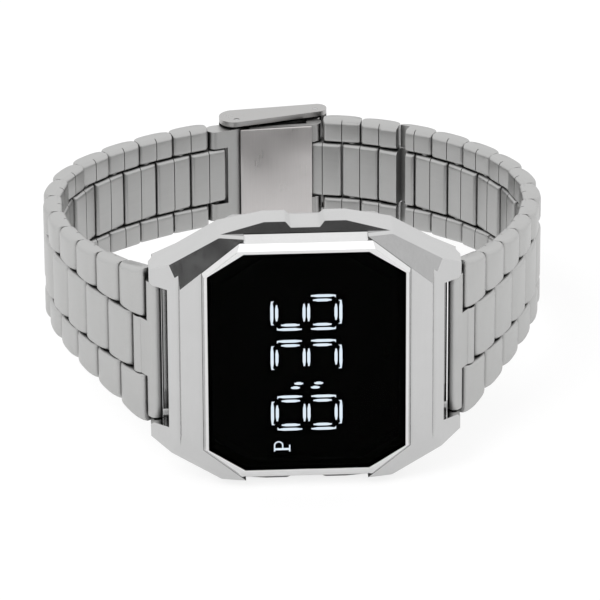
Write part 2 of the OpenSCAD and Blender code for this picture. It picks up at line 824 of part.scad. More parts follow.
// The fork that joins the 12 o'clock half to the clasp's spring bar
module clasp_link() {
    k = len(turns[0]);
    start = end_r + link_gap;
    color(steel) on_band(0, k) difference() {
        union() {
            difference() {
                linear_extrude(leaf_w, center = true)
                    belt([0, 0], end_r, [clasp_link_l, 0], tube_r);
                translate([-5, -3, -side_start]) cube([5 + start, 6, 2 * side_start]);
            }
            linear_extrude(leaf_w, center = true) translate([clasp_link_l, 0]) circle(tube_r);
        }
        axle([0, 0], pin_r + pin_fit, leaf_half - link_cap + 0.1);
        axle([clasp_link_l, 0], clasp_bar_r + pin_fit, leaf_half + 1);
    }
}

// Places a piece of the clasp: x along the clasp, y out of the wrist
module on_clasp() {
    in_frame() translate([clasp_from.x, clasp_from.y, 0]) rotate(clasp_heading) children();
}

module clasp_bar() {
    on_clasp() spring_bar(clasp_bar_r, leaf_half, cover_half - 0.05);
}

module cover_profile(inset) {
    belt(cover_end_a, cover_r_a - inset, cover_end_b, cover_r_b - inset);
}

module clasp_cover() {
    lip_a = cover_end_a.y + 0.3;
    lip_b = cover_end_b.y - 0.15;
    color("gainsboro") on_clasp() difference() {
        linear_extrude(2 * cover_half, center = true) cover_profile(0);
        linear_extrude(2 * flange_start, center = true) {
            cover_profile(cover_wall);
            polygon([
                [-5, -5], [-5, lip_a], [cover_end_a.x, lip_a], [cover_end_b.x, lip_b],
                [cover_end_b.x + 5, lip_b], [cover_end_b.x + 5, -5]]);
        }
        axle([0, 0], bar_tip_r + seat, cover_half + 1);
        axle(cover_hinge, leaf_pin_r + seat, cover_half + 1);
    }
}

module clasp_cover_pin() {
    color("darkgray") on_clasp() axle(cover_hinge, leaf_pin_r, cover_half);
}

module clasp_leaf_pin() {
    color("darkgray") on_clasp() axle(leaf_hinge, leaf_pin_r, leaf_half);
}

module clasp_middle_leaf() {
    plate_half = leaf_half - 0.2;
    hinge_gap = knuckle_r + 0.3;
    v = cover_hinge - leaf_hinge;
    color(steel) on_clasp() translate([leaf_hinge.x, leaf_hinge.y, 0]) rotate(atan2(v.y, v.x))
        difference() {
            union() {
                translate([hinge_gap, -leaf_t / 2, -plate_half])
                    cube([norm(v) - hinge_gap, leaf_t, 2 * plate_half]);
                translate([0, -leaf_t / 2, -leaf_knuckle_half])
                    cube([hinge_gap + eps, leaf_t, 2 * leaf_knuckle_half]);
                axle([0, 0], knuckle_r, leaf_knuckle_half);
                axle([norm(v), 0], knuckle_r, plate_half);
            }
            axle([0, 0], leaf_pin_r + pin_fit, leaf_half);
            axle([norm(v), 0], leaf_pin_r + pin_fit, leaf_half);
        }
}

module clasp_inner_leaf() {
    cut_half = leaf_knuckle_half + 0.2;
    plate_top = inner_leaf_y + leaf_t + 0.05;
    color(steel) on_clasp() difference() {
        union() {
            translate([leaf_hinge.x - knuckle_r, inner_leaf_y, -leaf_half])
                cube([clasp_l - leaf_hinge.x + knuckle_r, plate_top - inner_leaf_y, leaf_w]);
            axle(leaf_hinge, knuckle_r, leaf_half);
            axle([clasp_l, 0], tube_r, leaf_half);
        }
        translate([leaf_hinge.x - 2, -2, -cut_half]) cube([2 + knuckle_r + 0.3, 4, 2 * cut_half]);
        translate([clasp_l - end_r - link_gap, -2, -side_start]) cube([5, 4, 2 * side_start]);
        axle([clasp_l, 0], pin_r + pin_fit, leaf_half - link_cap + 0.1);
        axle(leaf_hinge, leaf_pin_r + seat, leaf_half + 1);
    }
}

case_middle();
bezel();
crystal();
crystal_gasket();
display_board();
led_segments();
module_frame();
circuit_board();
driver_chip();
quartz_can();
chip_resistors();
touch_contact();
cell_contact(-1);  // cell_contact_9
cell_contact(1);  // cell_contact_3
cell(-1);  // cell_9
cell(1);  // cell_3
cell_clamp();
clamp_screws();
back_gasket();
case_back();
case_back_screws();
lug_bar_12();
lug_bar_6();
end_link(0);  // end_link_12
end_link(1);  // end_link_6
for (k = [1:last_link[0]]) link(0, k);
for (k = [1:last_link[1]]) link(1, k);
clasp_link();
clasp_bar();
clasp_cover();
clasp_cover_pin();
clasp_middle_leaf();
clasp_leaf_pin();
clasp_inner_leaf();
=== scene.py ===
# Looks of a digital watch with a white LED display on a closed bracelet of folded links.
# Lengths are in metres, and the sizes in MM are the millimetres of the part's source.
import json
import math

import bmesh
import bpy
from mathutils import Matrix, Vector


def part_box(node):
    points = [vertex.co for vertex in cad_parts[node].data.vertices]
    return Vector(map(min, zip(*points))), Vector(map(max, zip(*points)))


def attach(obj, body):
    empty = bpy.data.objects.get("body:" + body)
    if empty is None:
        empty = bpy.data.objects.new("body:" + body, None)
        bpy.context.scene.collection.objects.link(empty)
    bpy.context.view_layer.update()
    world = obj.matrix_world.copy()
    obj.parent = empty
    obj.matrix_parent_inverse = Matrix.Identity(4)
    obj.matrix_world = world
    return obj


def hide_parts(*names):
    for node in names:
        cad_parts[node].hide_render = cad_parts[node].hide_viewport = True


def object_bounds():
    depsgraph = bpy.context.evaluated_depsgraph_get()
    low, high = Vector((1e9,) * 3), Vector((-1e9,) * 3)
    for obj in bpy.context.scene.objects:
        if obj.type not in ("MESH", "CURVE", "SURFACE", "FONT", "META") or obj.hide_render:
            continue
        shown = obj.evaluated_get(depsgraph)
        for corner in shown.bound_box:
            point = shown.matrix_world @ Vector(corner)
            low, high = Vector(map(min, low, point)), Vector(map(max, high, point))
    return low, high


MM = 0.001
# Points closer than this are one point
SAME_PLACE = 0.0001 * MM
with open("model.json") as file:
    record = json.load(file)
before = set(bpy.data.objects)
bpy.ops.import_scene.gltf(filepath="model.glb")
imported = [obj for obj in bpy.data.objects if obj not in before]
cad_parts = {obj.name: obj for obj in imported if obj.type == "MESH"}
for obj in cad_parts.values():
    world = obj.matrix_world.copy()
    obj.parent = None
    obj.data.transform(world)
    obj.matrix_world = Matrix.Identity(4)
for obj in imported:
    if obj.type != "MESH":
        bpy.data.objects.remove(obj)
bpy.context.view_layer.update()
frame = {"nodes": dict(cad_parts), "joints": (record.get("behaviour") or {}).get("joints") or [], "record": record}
nodes = frame["nodes"]
body_of = {
    node: body
    for body, members in frame["record"]["behaviour"]["bodies"].items()
    for node in members
}
joint_at = {j["name"]: Vector(j["pos_m"]) for j in frame["joints"]}

# Sizes of the bracelet, as in the part's source
LINK_PITCH = 4.95 * MM
LINK_GAP = 0.3 * MM
LINK_CROWN = 0.25 * MM
CENTRE_HALF = 3.65 * MM
SIDE_START = 3.8 * MM
LUG_HALF = 9.95 * MM
BACK_HALF = 6.75 * MM
TAPER_START = 1.8 * MM
TAPER_LENGTH = 13.3 * MM
END_LINK_LENGTH = 2.45 * MM
LINK_EASE = 0.6 * MM
PIN_RADIUS = 0.65 * MM
PIN_INTO_SIDE = 0.5 * MM
PIN_SIDES = 24
HALF_PITCH = LINK_PITCH / 2
END_RADIUS = LINK_PITCH / 4 - LINK_GAP / 2
# The adjusting link: its slot, and the raised strip that runs on over the next link's sides
SLOTTED_LINK = "link_6_11"
STRIP_LINK = "link_6_12"
SLOT_FROM = 2.4 * MM
SLOT_TO = 3.55 * MM
SLOT_TOP = 0.2 * MM
STRIP_TO = 5.9 * MM
STRIP_RISE = 0.25 * MM
COLUMN_GAP = 0.15 * MM
# The plain plate of the clasp's inner leaf, from the pivot at its 12 o'clock end
SKIN_FROM = 0.3 * MM
SKIN_SHORT = 0.4 * MM
SKIN_LOW = -1.5 * MM
SKIN_TOP = -1.1 * MM
LEAF_HALF = 6.1 * MM
# The lip behind the gap at each end link, from the case's centre and from the glass front
LIP_INNER = 16.25 * MM
LIP_OUTER = 16.85 * MM
LIP_FRONT = 5.4 * MM
LIP_BACK = 5.9 * MM
LIP_HALF = 8.5 * MM
# How far a folded piece reaches past its pivots, and where its wrist side lies
REACH = END_RADIUS + 0.08 * MM
WRIST_SIDE = -END_RADIUS


# Camera and studio


def glass_front():
    """The middle of the glass's front face."""
    low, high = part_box("crystal")
    return Vector(((low.x + high.x) / 2, low.y, (low.z + high.z) / 2))


def add_camera():
    """A long lens above and in front of the glass, framed as in the photograph."""
    frame_px = 600
    focal_px = 5964
    distance = 0.7
    glass_px = (306.9, 361.5)
    yaw, tilt, roll = (math.radians(a) for a in (2.75, 26.5, 0.25))
    look = Vector(
        (math.cos(tilt) * math.sin(yaw), math.cos(tilt) * math.cos(yaw), -math.sin(tilt))
    )
    level_up = Vector(
        (math.sin(tilt) * math.sin(yaw), math.sin(tilt) * math.cos(yaw), math.cos(tilt))
    )
    up = Matrix.Rotation(roll, 3, look) @ level_up
    right = look.cross(up)
    lens = bpy.data.cameras.new("camera")
    lens.sensor_width = 36
    lens.lens = lens.sensor_width * focal_px / frame_px
    lens.shift_x = (frame_px / 2 - glass_px[0]) / frame_px
    lens.shift_y = (glass_px[1] - frame_px / 2) / frame_px
    lens.clip_start, lens.clip_end = 0.05, 20
    camera = bpy.data.objects.new("camera", lens)
    bpy.context.scene.collection.objects.link(camera)
    camera.matrix_world = Matrix.Translation(glass_front() - look * distance) @ (
        Matrix((right, up, -look)).transposed().to_4x4()
    )
    bpy.context.scene.camera = camera


def add_key_lamp():
    """A soft lamp from the upper left, which the metal doesn't mirror."""
    lamp = bpy.data.lights.new("key", "AREA")
    lamp.shape = "DISK"
    lamp.size = KEY_SIZE
    lamp.energy = KEY_POWER
    lamp_object = bpy.data.objects.new("key", lamp)
    bpy.context.scene.collection.objects.link(lamp_object)
    lamp_object.location = KEY_PLACE
    lamp_object.rotation_mode = "QUATERNION"
    lamp_object.rotation_quaternion = (-Vector(KEY_PLACE)).to_track_quat("-Z", "Y")
    lamp_object.visible_glossy = False


# Shader building

BRUSH_DEPTH = 0.02 * MM
# How far the painted shade in crevices reaches
CREVICE_SHADE_WIDTH = 1.6 * MM
METAL_PATCHES = 350.0
PLASTIC_PATCHES = 900.0
GLASS_PATCHES = 200.0
STROKE_PATCHES = 1500.0
STROKE_STRENGTH = 9.0
# A stroke's face is lit where this share of its normal points to the front
STROKE_FACING = 0.7


def put(tree, kind, **settings):
    """Adds a node of a kind to the tree, with its settings."""
    node = tree.nodes.new(kind)
    for name, value in settings.items():
        setattr(node, name, value)
    return node


def feed(tree, socket, value):
    """Links an output to the socket, or sets the socket's own value."""
    if isinstance(value, bpy.types.NodeSocket):
        tree.links.new(value, socket)
    else:
        socket.default_value = value


def math_node(tree, operation, a, b=0.0):
    node = put(tree, "ShaderNodeMath", operation=operation)
    feed(tree, node.inputs[0], a)
    feed(tree, node.inputs[1], b)
    return node.outputs[0]


def new_group(name, inputs, outputs):
    tree = bpy.data.node_groups.new(name, "ShaderNodeTree")
    for label, kind, value in inputs:
        socket = tree.interface.new_socket(label, in_out="INPUT", socket_type=kind)
        if value is not None:
            socket.default_value = value
    for label, kind in outputs:
        tree.interface.new_socket(label, in_out="OUTPUT", socket_type=kind)
    return tree, put(tree, "NodeGroupInput"), put(tree, "NodeGroupOutput")


def brushing_group():
    """Fine lines drawn along one axis of the surface, with the bump that they make."""
    tree, given, result = new_group(
        "brushed_lines",
        [
            ("Place", "NodeSocketVector", None),
            ("Lines per metre", "NodeSocketVector", (300.0, 9000.0, 9000.0)),
            ("Depth", "NodeSocketFloat", 0.2),
        ],
        [("Lines", "NodeSocketFloat"), ("Normal", "NodeSocketVector")],
    )
    scaled = put(tree, "ShaderNodeVectorMath", operation="MULTIPLY")
    feed(tree, scaled.inputs[0], given.outputs["Place"])
    feed(tree, scaled.inputs[1], given.outputs["Lines per metre"])
    noise = put(tree, "ShaderNodeTexNoise", noise_dimensions="3D")
    feed(tree, noise.inputs["Vector"], scaled.outputs[0])
    feed(tree, noise.inputs["Scale"], 1.0)
    feed(tree, noise.inputs["Detail"], 4.0)
    feed(tree, noise.inputs["Roughness"], 0.6)
    bump = put(tree, "ShaderNodeBump")
    feed(tree, bump.inputs["Strength"], given.outputs["Depth"])
    feed(tree, bump.inputs["Distance"], BRUSH_DEPTH)
    feed(tree, bump.inputs["Height"], noise.outputs[0])
    feed(tree, result.inputs["Lines"], noise.outputs[0])
    feed(tree, result.inputs["Normal"], bump.outputs[0])
    return tree


def smudge_group():
    """Soft cloudy patches, as on metal that has been handled."""
    tree, given, result = new_group(
        "handling_smudges",
        [
            ("Place", "NodeSocketVector", None),
            ("Patches per metre", "NodeSocketFloat", METAL_PATCHES),
        ],
        [("Smudge", "NodeSocketFloat")],
    )
    noise = put(tree, "ShaderNodeTexNoise", noise_dimensions="3D")
    feed(tree, noise.inputs["Vector"], given.outputs["Place"])
    feed(tree, noise.inputs["Scale"], given.outputs["Patches per metre"])
    feed(tree, noise.inputs["Detail"], 3.0)
    feed(tree, result.inputs["Smudge"], noise.outputs[0])
    return tree


def crevice_shade_group():
    """Painted shade: darkens a colour in the narrow gaps between pieces, as far as the surface there is closed in.
    """
    tree, given, result = new_group(
        "dark_crevices",
        [
            ("Colour", "NodeSocketColor", None),
            ("Width", "NodeSocketFloat", CREVICE_SHADE_WIDTH),
            ("Darkest", "NodeSocketFloat", 0.15),
        ],
        [("Colour", "NodeSocketColor")],
    )
    # Painted shade: how open the surface is sets how dark its colour is painted
    openness = put(tree, "ShaderNodeAmbientOcclusion", samples=6)
    feed(tree, openness.inputs["Distance"], given.outputs["Width"])
    share = put(tree, "ShaderNodeMapRange")
    feed(tree, share.inputs["Value"], openness.outputs["AO"])
    feed(tree, share.inputs["From Min"], 0.1)
    feed(tree, share.inputs["From Max"], 0.75)
    feed(tree, share.inputs["To Min"], given.outputs["Darkest"])
    feed(tree, share.inputs["To Max"], 1.0)
    shaded = put(tree, "ShaderNodeVectorMath", operation="SCALE")
    feed(tree, shaded.inputs[0], given.outputs["Colour"])
    feed(tree, shaded.inputs["Scale"], share.outputs[0])
    feed(tree, result.inputs["Colour"], shaded.outputs[0])
    return tree


GROUPS = {"lines": brushing_group(), "smudges": smudge_group(), "crevice_shade": crevice_shade_group()}


def new_material(name, colour, metallic=0.0, roughness=0.5):
    material = bpy.data.materials.new(name)
    material.use_nodes = True
    tree = material.node_tree
    shader = tree.nodes["Principled BSDF"]
    shader.inputs["Base Color"].default_value = (*colour, 1.0)
    shader.inputs["Metallic"].default_value = metallic
    shader.inputs["Roughness"].default_value = roughness
    return material, tree, shader


def surface_place(tree, attribute=None):
    """Where on the piece a point lies: a stored place in the piece's own frame, or the object's."""
    if attribute:
        return put(tree, "ShaderNodeAttribute", attribute_name=attribute).outputs["Vector"]
    return put(tree, "ShaderNodeTexCoord").outputs["Object"]


def smudges(tree, place, patches):
    """Places the group of soft patches, and gives its mask."""
    node = put(tree, "ShaderNodeGroup", node_tree=GROUPS["smudges"])
    feed(tree, node.inputs["Place"], place)
    feed(tree, node.inputs["Patches per metre"], patches)
    return node.outputs["Smudge"]


def shade_range(tree, value, low, high):
    """Turns a noise mask into a value between low and high."""
    span = put(tree, "ShaderNodeMapRange")
    feed(tree, span.inputs["Value"], value)
    feed(tree, span.inputs["From Min"], 0.3)
    feed(tree, span.inputs["From Max"], 0.7)
    feed(tree, span.inputs["To Min"], low)
    feed(tree, span.inputs["To Max"], high)
    return span.outputs[0]


def colour_range(tree, value, dark, light):
    """Turns a mask into a colour between dark and light."""
    mix = put(tree, "ShaderNodeMix", data_type="RGBA")
    feed(tree, mix.inputs[0], value)
    feed(tree, mix.inputs[6], (*dark, 1.0))
    feed(tree, mix.inputs[7], (*light, 1.0))
    return mix.outputs[2]


def metal(name, dark, light, rough, lines, depth, attribute=None):
    """A metal with brushed lines and smudges: colour and roughness each run over a range, and painted shade
    darkens its colour in the crevices.
    """
    material, tree, shader = new_material(name, light, metallic=1.0)
    place = surface_place(tree, attribute)
    brushed = put(tree, "ShaderNodeGroup", node_tree=GROUPS["lines"])
    feed(tree, brushed.inputs["Place"], place)
    feed(tree, brushed.inputs["Lines per metre"], lines)
    feed(tree, brushed.inputs["Depth"], depth)
    smudge = smudges(tree, place, METAL_PATCHES)
    both = math_node(tree, "ADD", brushed.outputs["Lines"], smudge)
    mean = math_node(tree, "MULTIPLY", both, 0.5)
    # Painted shade: the colour is darkened in the crevices between pieces
    crevice_shade = put(tree, "ShaderNodeGroup", node_tree=GROUPS["crevice_shade"])
    feed(tree, crevice_shade.inputs["Colour"], colour_range(tree, mean, dark, light))
    feed(tree, shader.inputs["Base Color"], crevice_shade.outputs["Colour"])
    feed(tree, shader.inputs["Roughness"], shade_range(tree, mean, *rough))
    feed(tree, shader.inputs["Normal"], brushed.outputs["Normal"])
    return material


def moulded(name, dark, light, rough):
    """Plastic, rubber or lacquer with a slight mottle."""
    material, tree, shader = new_material(name, light)
    mottle = smudges(tree, surface_place(tree), PLASTIC_PATCHES)
    feed(tree, shader.inputs["Base Color"], colour_range(tree, mottle, dark, light))
    feed(tree, shader.inputs["Roughness"], shade_range(tree, mottle, *rough))
    return material


def filter_glass():
    """Dark glass that hides all but the lit strokes behind it."""
    material, tree, shader = new_material("filter_glass", (0.1, 0.1, 0.104), roughness=0.0)
    shader.inputs["Transmission Weight"].default_value = 1.0
    shader.inputs["Specular IOR Level"].default_value = 0.0
    shader.inputs["IOR"].default_value = 1.06
    smudge = smudges(tree, surface_place(tree), GLASS_PATCHES)
    feed(tree, shader.inputs["Roughness"], shade_range(tree, smudge, 0.0, 0.012))
    return material


def lit_strokes():
    """White light from the front face of each stroke, and dark sides."""
    material, tree, shader = new_material("lit_white", (0.02, 0.02, 0.022))
    smudge = smudges(tree, surface_place(tree), STROKE_PATCHES)
    glow = colour_range(tree, smudge, (0.72, 0.88, 1.0), (0.95, 1.0, 1.0))
    feed(tree, shader.inputs["Emission Color"], glow)
    front = put(tree, "ShaderNodeVectorMath", operation="DOT_PRODUCT")
    feed(tree, front.inputs[0], put(tree, "ShaderNodeTexCoord").outputs["Normal"])
    feed(tree, front.inputs[1], (0.0, -1.0, 0.0))
    lit = math_node(tree, "GREATER_THAN", front.outputs["Value"], STROKE_FACING)
    glow_strength = math_node(tree, "MULTIPLY", lit, STROKE_STRENGTH)
    feed(tree, shader.inputs["Emission Strength"], glow_strength)
    return material


# Lines of the brushing per metre, in x, y and z
ACROSS_BAND = (250.0, 9000.0, 9000.0)
UPRIGHT = (8000.0, 8000.0, 250.0)
EVEN = (2500.0, 2500.0, 2500.0)

# Metals: darkest and lightest colour, range of roughness, brushed lines and their depth
MATERIALS = {
    "band_steel": metal(
        "band_steel", (0.44, 0.44, 0.435), (0.56, 0.56, 0.555), (0.3, 0.42), ACROSS_BAND,
        0.25, attribute="link_place",
    ),
    "band_steel_cad": metal(
        "band_steel_cad", (0.44, 0.44, 0.435), (0.56, 0.56, 0.555), (0.3, 0.42), UPRIGHT, 0.2
    ),
    "clasp_steel": metal(
        "clasp_steel", (0.41, 0.405, 0.4), (0.54, 0.535, 0.53), (0.25, 0.38), UPRIGHT, 0.2
    ),
    "clasp_inner_steel": metal(
        "clasp_inner_steel", (0.57, 0.55, 0.545), (0.72, 0.695, 0.69), (0.25, 0.38), UPRIGHT, 0.2
    ),
    "case_steel": metal(
        "case_steel", (0.54, 0.54, 0.54), (0.62, 0.62, 0.62), (0.07, 0.13), UPRIGHT, 0.012
    ),
    "polished": metal(
        "polished", (0.7, 0.7, 0.7), (0.8, 0.8, 0.8), (0.03, 0.07), EVEN, 0.005
    ),
    "back_steel": metal(
        "back_steel", (0.44, 0.44, 0.44), (0.58, 0.58, 0.58), (0.26, 0.4), UPRIGHT, 0.25
    ),
    "pin_steel": metal(
        "pin_steel", (0.42, 0.42, 0.42), (0.55, 0.55, 0.55), (0.2, 0.3), UPRIGHT, 0.1
    ),
    "cell_steel": metal(
        "cell_steel", (0.55, 0.54, 0.52), (0.68, 0.67, 0.65), (0.18, 0.3), EVEN, 0.1
    ),
    "tin": metal("tin", (0.55, 0.55, 0.56), (0.68, 0.68, 0.7), (0.2, 0.35), EVEN, 0.1),
    "gilt": metal("gilt", (0.7, 0.5, 0.2), (0.85, 0.65, 0.3), (0.18, 0.32), EVEN, 0.1),
    "filter_glass": filter_glass(),
    "lit_white": lit_strokes(),
    "display_black": moulded(
        "display_black", (0.004, 0.004, 0.004), (0.008, 0.008, 0.009), (0.55, 0.7)
    ),
    "seal": moulded("seal", (0.01, 0.01, 0.01), (0.02, 0.02, 0.02), (0.6, 0.75)),
    "frame_plastic": moulded(
        "frame_plastic", (0.02, 0.02, 0.02), (0.035, 0.035, 0.035), (0.45, 0.6)
    ),
    "board_green": moulded(
        "board_green", (0.01, 0.09, 0.035), (0.02, 0.14, 0.05), (0.35, 0.5)
    ),
    "chip_black": moulded("chip_black", (0.012, 0.012, 0.012), (0.02, 0.02, 0.02), (0.5, 0.6)),
    "resistor": moulded("resistor", (0.04, 0.02, 0.012), (0.07, 0.04, 0.02), (0.4, 0.55)),
}


# Bracelet links, made by one tree of geometry nodes


def lower_corner(side):
    """Rounded lower corner at the left (-1) or right (1) end, from the wrist side outwards."""
    corner = 0.45 * MM
    steps = 8
    middle, half = HALF_PITCH / 2, HALF_PITCH / 2 + REACH
    turns = [math.radians(90) * i / steps for i in range(steps + 1)]
    return [
        (
            middle + side * (half - corner + corner * math.sin(a)),
            WRIST_SIDE + corner - corner * math.cos(a),
        )
        for a in turns
    ]


def lower_seam():
    """Narrow slot in the wrist side, where the two ends of the folded strip meet."""
    middle, half_width, top = HALF_PITCH / 2, 0.05 * MM, WRIST_SIDE + 0.35 * MM
    return [
        (middle + half_width, WRIST_SIDE),
        (middle + half_width, top),
        (middle - half_width, top),
        (middle - half_width, WRIST_SIDE),
    ]


def column_profile(lower=None):
    """Side view of a folded column: a dome over a wrist side that runs from right to left."""
    dome_start = 0.1 * MM
    dome_top = END_RADIUS + LINK_CROWN
    fullness = 2.7
    middle, half = HALF_PITCH / 2, HALF_PITCH / 2 + REACH
    points = []
    steps = 24
    for i in range(steps + 1):
        a = math.radians(180) * (1 - i / steps)
        across, up = math.cos(a), math.sin(a)
        points.append(
            (
                middle + math.copysign(abs(across) ** (2 / fullness), across) * half,
                dome_start + abs(up) ** (2 / fullness) * (dome_top - dome_start),
            )
        )
    return points + (lower or lower_corner(1)[::-1] + lower_seam() + lower_corner(-1))


def profiles_of(node):
    """Profiles of a link's side pieces and of its centre piece."""
    left_end, right_end = -REACH, HALF_PITCH + REACH
    strip_side = WRIST_SIDE - STRIP_RISE
    sides = centre = column_profile()
    if node == STRIP_LINK:
        strip_end = STRIP_TO - LINK_PITCH
        sides = column_profile(
            lower_corner(1)[::-1]
            + lower_seam()
            + [(strip_end, WRIST_SIDE), (strip_end, strip_side)]
            + [(SLOT_TO + 2 * COLUMN_GAP - LINK_PITCH, strip_side), (left_end, WRIST_SIDE)]
        )
    if node == SLOTTED_LINK:
        sides = column_profile(
            [(right_end, SLOT_TOP), (SLOT_FROM, SLOT_TOP), (SLOT_FROM, WRIST_SIDE)]
            + lower_seam()
            + lower_corner(-1)
        )
        strip_end = STRIP_TO - HALF_PITCH
        slot_start, slot_end = SLOT_FROM - HALF_PITCH, SLOT_TO - HALF_PITCH
        centre = column_profile(
            [(right_end, WRIST_SIDE + STRIP_RISE), (strip_end, WRIST_SIDE)]
            + [(strip_end, strip_side), (slot_end, strip_side), (slot_end, SLOT_TOP)]
            + [(slot_start, SLOT_TOP), (slot_start, WRIST_SIDE)]
            + lower_corner(-1)
        )
    return sides, centre


def vector_of(tree, x=0.0, y=0.0, z=0.0):
    node = put(tree, "ShaderNodeCombineXYZ")
    for socket, value in zip(node.inputs, (x, y, z)):
        feed(tree, socket, value)
    return node.outputs[0]


def column_tree():
    """A group that raises the profile into a column with eased ends, from 0 to 1 in z."""
    # Share of the ease at which a level lies, and the profile's height there
    levels = ((0.0, 0.58), (0.1, 0.74), (0.3, 0.87), (0.6, 0.96), (1.0, 1.0))
    tree = bpy.data.node_groups.new("eased_column", "GeometryNodeTree")
    tree.interface.new_socket("Profile", in_out="INPUT", socket_type="NodeSocketGeometry")
    for label in ("Start", "End", "Ease"):
        tree.interface.new_socket(label, in_out="INPUT", socket_type="NodeSocketFloat")
    tree.interface.new_socket("Column", in_out="OUTPUT", socket_type="NodeSocketGeometry")
    given, result = put(tree, "NodeGroupInput"), put(tree, "NodeGroupOutput")
    start, end, ease = (given.outputs[n] for n in ("Start", "End", "Ease"))
    heights = [
        (math_node(tree, "ADD", start, math_node(tree, "MULTIPLY", ease, share)), size)
        for share, size in levels
    ] + [
        (math_node(tree, "SUBTRACT", end, math_node(tree, "MULTIPLY", ease, share)), size)
        for share, size in reversed(levels)
    ]
    fill = put(tree, "GeometryNodeFillCurve", mode="NGONS")
    to_curve = put(tree, "GeometryNodeMeshToCurve")
    tree.links.new(given.outputs["Profile"], to_curve.inputs["Mesh"])
    tree.links.new(to_curve.outputs["Curve"], fill.inputs["Curve"])

    def shrink(mesh, selection, scale):
        """Scales the chosen faces across the band's thickness, from the wrist side."""
        node = put(
            tree, "GeometryNodeScaleElements", domain="FACE", scale_mode="SINGLE_AXIS"
        )
        tree.links.new(mesh, node.inputs["Geometry"])
        if selection:
            tree.links.new(selection, node.inputs["Selection"])
        node.inputs["Scale"].default_value = scale
        node.inputs["Center"].default_value = (0.0, -END_RADIUS, 0.0)
        node.inputs["Axis"].default_value = (0.0, 1.0, 0.0)
        return node.outputs["Geometry"]

    mesh = shrink(fill.outputs[0], None, heights[0][1])
    bottom = put(tree, "GeometryNodeFlipFaces")
    tree.links.new(mesh, bottom.inputs[0])
    top = None
    size = heights[0][1]
    for (low, _), (high, scale) in zip(heights, heights[1:]):
        rise = put(tree, "GeometryNodeExtrudeMesh", mode="FACES")
        rise.inputs["Individual"].default_value = False
        tree.links.new(mesh, rise.inputs["Mesh"])
        if top:
            tree.links.new(top, rise.inputs["Selection"])
        step = math_node(tree, "SUBTRACT", high, low)
        tree.links.new(vector_of(tree, 0.0, 0.0, step), rise.inputs["Offset"])
        top = rise.outputs["Top"]
        mesh = shrink(rise.outputs["Mesh"], top, scale / size)
        size = scale
    whole = put(tree, "GeometryNodeJoinGeometry")
    tree.links.new(mesh, whole.inputs[0])
    tree.links.new(bottom.outputs[0], whole.inputs[0])
    move = put(tree, "GeometryNodeTransform")
    tree.links.new(whole.outputs[0], move.inputs["Geometry"])
    tree.links.new(vector_of(tree, 0.0, 0.0, start), move.inputs["Translation"])
    weld = put(tree, "GeometryNodeMergeByDistance")
    tree.links.new(move.outputs[0], weld.inputs["Geometry"])
    weld.inputs["Distance"].default_value = SAME_PLACE
    tree.links.new(weld.outputs[0], result.inputs["Column"])
    return tree


LINK_INPUTS = (
    ("Centre profile", "NodeSocketObject"),
    ("Side start", "NodeSocketFloat"),
    ("Near half width", "NodeSocketFloat"),
    ("Far half width", "NodeSocketFloat"),
    ("Centre half width", "NodeSocketFloat"),
    ("Half pitch", "NodeSocketFloat"),
    ("End radius", "NodeSocketFloat"),
    ("Ease", "NodeSocketFloat"),
    ("Pin radius", "NodeSocketFloat"),
    ("Pin half length", "NodeSocketFloat"),
    ("Pivot", "NodeSocketVector"),
    ("Turn", "NodeSocketRotation"),
    ("Steel", "NodeSocketMaterial"),
)


